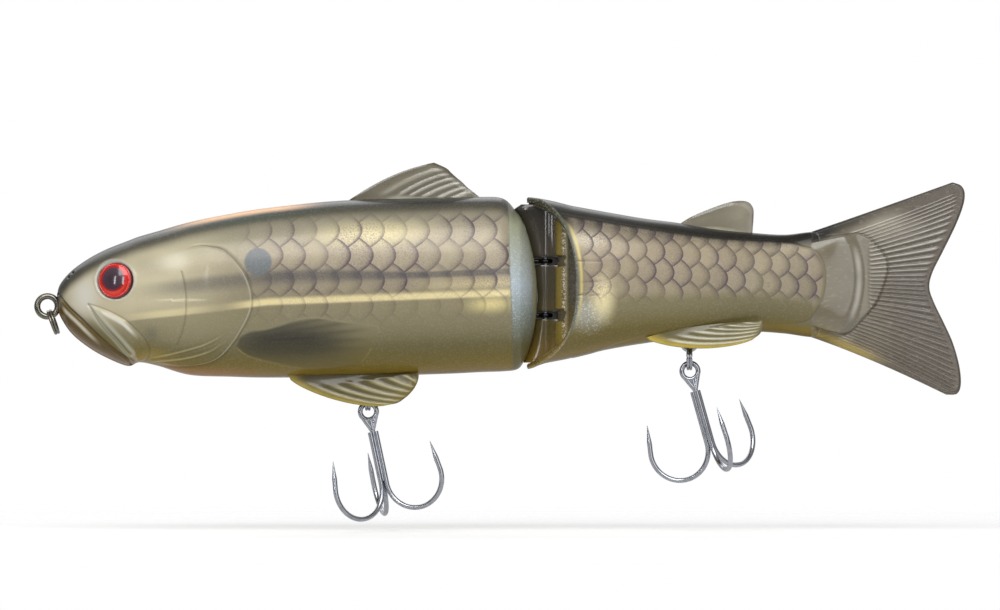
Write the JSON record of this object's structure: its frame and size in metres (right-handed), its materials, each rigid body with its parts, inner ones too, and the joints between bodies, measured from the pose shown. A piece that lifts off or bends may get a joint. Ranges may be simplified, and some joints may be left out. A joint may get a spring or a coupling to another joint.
{
  "type": "jointed swimbait fishing lure",
  "caption": "Two-piece glide swimbait with a pinned hinge, soft forked tail, split rings and treble hooks.",
  "frame": {"origin": "centre of the line tie's eye at the nose", "axes": "+X from nose to tail, +Z towards the back, -Y is the fish's left side"},
  "size_m": [0.2576, 0.0366, 0.0998],
  "materials": {
    "clear_shell": "gloss",
    "scale_foil": "satin",
    "red_eye": "gloss",
    "soft_tail": "gloss",
    "ballast": "satin",
    "nickel": "polished",
    "black_nickel": "polished",
    "steel": "satin"
  },
  "bodies": {
    "front": {"front_shell_left": "clear_shell", "front_shell_right": "clear_shell", "front_foil_left": "scale_foil", "front_foil_right": "scale_foil", "eye_left": "red_eye", "eye_right": "red_eye", "front_ballast": "ballast", "line_tie": "nickel", "hinge_eye_upper": "black_nickel", "hinge_eye_lower": "black_nickel", "front_hook_hanger": "nickel"},
    "rear": {"rear_shell_left": "clear_shell", "rear_shell_right": "clear_shell", "rear_foil_left": "scale_foil", "rear_foil_right": "scale_foil", "tail_fin": "soft_tail", "rear_ballast": "ballast", "hinge_pin": "steel", "rear_hook_hanger": "nickel"},
    "nose_ring": {"nose_split_ring": "nickel"},
    "front_ring": {"front_split_ring": "nickel"},
    "front_hook": {"front_treble_hook": "nickel"},
    "rear_ring": {"rear_split_ring": "nickel"},
    "rear_hook": {"rear_treble_hook": "nickel"}
  },
  "joints": [
    {"name": "body_swing", "type": "hinge", "parent": "front", "child": "rear", "pos_m": [0.1379, 0, 0.005], "axis": [0, 0, 1], "range_deg": [-45, 45]},
    {"name": "nose_ring_swing", "type": "hinge", "parent": "front", "child": "nose_ring", "pos_m": [0, 0, 0], "axis": [0, -1, 0], "range_deg": [-190, 4]},
    {"name": "front_ring_swing", "type": "hinge", "parent": "front", "child": "front_ring", "pos_m": [0.0887, 0, -0.02329], "axis": [1, 0, 0], "range_deg": [-45, 45]},
    {"name": "front_hook_swing", "type": "hinge", "parent": "front_ring", "child": "front_hook", "pos_m": [0.0887, 0, -0.02852], "axis": [0, 1, 0], "range_deg": [-45, 65]},
    {"name": "rear_ring_swing", "type": "hinge", "parent": "rear", "child": "rear_ring", "pos_m": [0.1777, 0, -0.01211], "axis": [1, 0, 0], "range_deg": [-45, 45]},
    {"name": "rear_hook_swing", "type": "hinge", "parent": "rear_ring", "child": "rear_hook", "pos_m": [0.1777, 0, -0.01734], "axis": [0, 1, 0], "range_deg": [-40, 60]}
  ]
}
